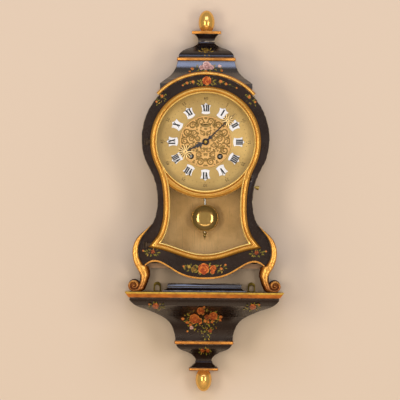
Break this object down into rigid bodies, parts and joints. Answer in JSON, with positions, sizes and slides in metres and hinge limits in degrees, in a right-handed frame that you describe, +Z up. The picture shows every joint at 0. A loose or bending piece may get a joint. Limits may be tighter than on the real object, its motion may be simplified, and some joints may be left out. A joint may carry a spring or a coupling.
{
  "type": "bracket clock",
  "caption": "Waisted lacquered bracket clock with gilt mouldings, a hinged glazed door, a striking pendulum movement and a matching wall bracket that hangs from brass eyes.",
  "frame": {"origin": "on the wall plane, midway between the two hanging eyes, at the height where the hooks bear", "axes": "+X to the right seen from the front, +Y into the wall, +Z up"},
  "size_m": [0.268, 0.165, 0.6455],
  "materials": {
    "black_lacquer": "polished lacquer with painted flowers",
    "brown_wood": "stained",
    "gilt_wood": "worn water gilding over red bole",
    "polished_gilt": "polished",
    "brass": "lacquered",
    "dial_brass": "matte",
    "chased_gilt": "chased and gilt",
    "enamel": "gloss white enamel with black numerals",
    "blued_steel": "blued",
    "steel": "polished",
    "bell_metal": "turned",
    "clear_glass": "clear"
  },
  "bodies": {
    "bracket": {"shelf_board": "brown_wood", "shelf_moulding": "gilt_wood", "bracket_body": "black_lacquer", "bracket_strip": "gilt_wood", "bracket_bell": "black_lacquer", "bracket_plate": "gilt_wood", "drop_finial": "polished_gilt", "shelf_plinth": "black_lacquer", "hanging_eyes": "brass", "hanging_eye_screws": "steel"},
    "case": {"case_front": "black_lacquer", "case_bottom": "brown_wood", "case_side_left": "black_lacquer", "case_side_right": "black_lacquer", "case_back": "brown_wood", "window_sheet": "brass", "foot_front_left": "gilt_wood", "foot_front_right": "gilt_wood", "back_feet": "black_lacquer", "apron_moulding": "gilt_wood", "hood_lower": "black_lacquer", "hood_strip": "gilt_wood", "hood_bell": "black_lacquer", "hood_cap": "gilt_wood", "top_finial": "polished_gilt", "arch_moulding": "gilt_wood", "hinge_brackets": "brass", "dial_plate": "dial_brass", "dial_centre": "chased_gilt", "numeral_plaques": "enamel", "movement_back_plate": "brass", "movement_front_plate": "brass", "movement_pillars": "brass", "suspension_cock": "brass", "bell_stand": "brass", "bell": "bell_metal"},
    "door": {"door_frame": "gilt_wood", "door_glass": "clear_glass", "door_fittings": "brass"},
    "latch": {"latch_knob": "brass"},
    "minute_hand": {"minute_hand": "blued_steel", "cannon_pinion": "brass", "hand_nut": "brass"},
    "hour_hand": {"hour_hand": "blued_steel", "hour_wheel": "brass"},
    "minute_wheel": {"minute_wheel": "brass"},
    "pendulum": {"suspension_spring": "steel", "pendulum_rod": "steel", "pendulum_bob": "brass"},
    "rating_nut": {"rating_nut": "brass"},
    "anchor": {"anchor": "steel"},
    "escape_wheel": {"escape_wheel": "brass"},
    "third_wheel": {"third_wheel": "brass"},
    "centre_wheel": {"centre_wheel": "brass"},
    "intermediate_wheel": {"intermediate_wheel": "brass"},
    "going_barrel": {"going_barrel": "brass"},
    "strike_barrel": {"strike_barrel": "brass"},
    "going_arbor": {"going_arbor": "steel"},
    "strike_arbor": {"strike_arbor": "steel"},
    "hammer": {"hammer": "steel"}
  },
  "joints": [
    {"name": "clock_lift", "type": "slide", "parent": "bracket", "child": "case", "axis": [0, 0, 1], "range_m": [0, 0.15]},
    {"name": "door_swing", "type": "hinge", "parent": "case", "child": "door", "pos_m": [-0.0985, -0.118, 0.1395], "axis": [0, 0, -1], "range_deg": [0, 110]},
    {"name": "latch_turn", "type": "hinge", "parent": "case", "child": "latch", "pos_m": [0.08298, -0.09, 0.1675], "axis": [-0.9511, 0, 0.309], "range_deg": [0, 90]},
    {"name": "minute_turn", "type": "hinge", "parent": "case", "child": "minute_hand", "pos_m": [0, -0.07, 0.2425], "axis": [0, 1, 0], "continuous": true},
    {"name": "hour_turn", "type": "hinge", "parent": "case", "child": "hour_hand", "pos_m": [0, -0.07, 0.2425], "axis": [0, 1, 0], "continuous": true},
    {"name": "minute_wheel_turn", "type": "hinge", "parent": "case", "child": "minute_wheel", "pos_m": [0, -0.07, 0.2305], "axis": [0, 1, 0], "continuous": true},
    {"name": "pendulum_swing", "type": "hinge", "parent": "case", "child": "pendulum", "pos_m": [0, -0.035, 0.2865], "axis": [0, 1, 0], "range_deg": [-4.5, 4.5]},
    {"name": "rating_nut_turn", "type": "hinge", "parent": "pendulum", "child": "rating_nut", "pos_m": [0, -0.035, 0.0901], "axis": [0, 0, 1], "continuous": true},
    {"name": "anchor_rock", "type": "hinge", "parent": "case", "child": "anchor", "pos_m": [0, -0.07, 0.2865], "axis": [0, 1, 0], "range_deg": [-4.5, 4.5]},
    {"name": "escape_turn", "type": "hinge", "parent": "case", "child": "escape_wheel", "pos_m": [0, -0.07, 0.2745], "axis": [0, 1, 0], "continuous": true},
    {"name": "third_turn", "type": "hinge", "parent": "case", "child": "third_wheel", "pos_m": [-0.00542, -0.07, 0.25987], "axis": [0, 1, 0], "continuous": true},
    {"name": "centre_turn", "type": "hinge", "parent": "case", "child": "centre_wheel", "pos_m": [0, -0.07, 0.2425], "axis": [0, 1, 0], "continuous": true},
    {"name": "intermediate_turn", "type": "hinge", "parent": "case", "child": "intermediate_wheel", "pos_m": [0.02088, -0.07, 0.24022], "axis": [0, 1, 0], "continuous": true},
    {"name": "going_barrel_turn", "type": "hinge", "parent": "case", "child": "going_barrel", "pos_m": [0.0244, -0.07, 0.218], "axis": [0, 1, 0], "continuous": true},
    {"name": "strike_barrel_turn", "type": "hinge", "parent": "case", "child": "strike_barrel", "pos_m": [-0.0244, -0.07, 0.218], "axis": [0, 1, 0], "continuous": true},
    {"name": "going_wind", "type": "hinge", "parent": "case", "child": "going_arbor", "pos_m": [0.0244, -0.07, 0.218], "axis": [0, 1, 0], "continuous": true},
    {"name": "strike_wind", "type": "hinge", "parent": "case", "child": "strike_arbor", "pos_m": [-0.0244, -0.07, 0.218], "axis": [0, 1, 0], "continuous": true},
    {"name": "hammer_lift", "type": "hinge", "parent": "case", "child": "hammer", "pos_m": [-0.03, -0.07, 0.2795], "axis": [0, -1, 0], "range_deg": [0, 18]}
  ],
  "couplings": [
    {"joint": "hour_turn", "follows": "minute_turn", "ratio": 0.083333},
    {"joint": "minute_wheel_turn", "follows": "minute_turn", "ratio": -0.33333},
    {"joint": "anchor_rock", "follows": "pendulum_swing", "ratio": 1},
    {"joint": "third_turn", "follows": "escape_turn", "ratio": -0.083333},
    {"joint": "centre_turn", "follows": "escape_turn", "ratio": 0.0069444},
    {"joint": "intermediate_turn", "follows": "escape_turn", "ratio": -0.0011574},
    {"joint": "going_barrel_turn", "follows": "escape_turn", "ratio": 0.00014468}
  ]
}
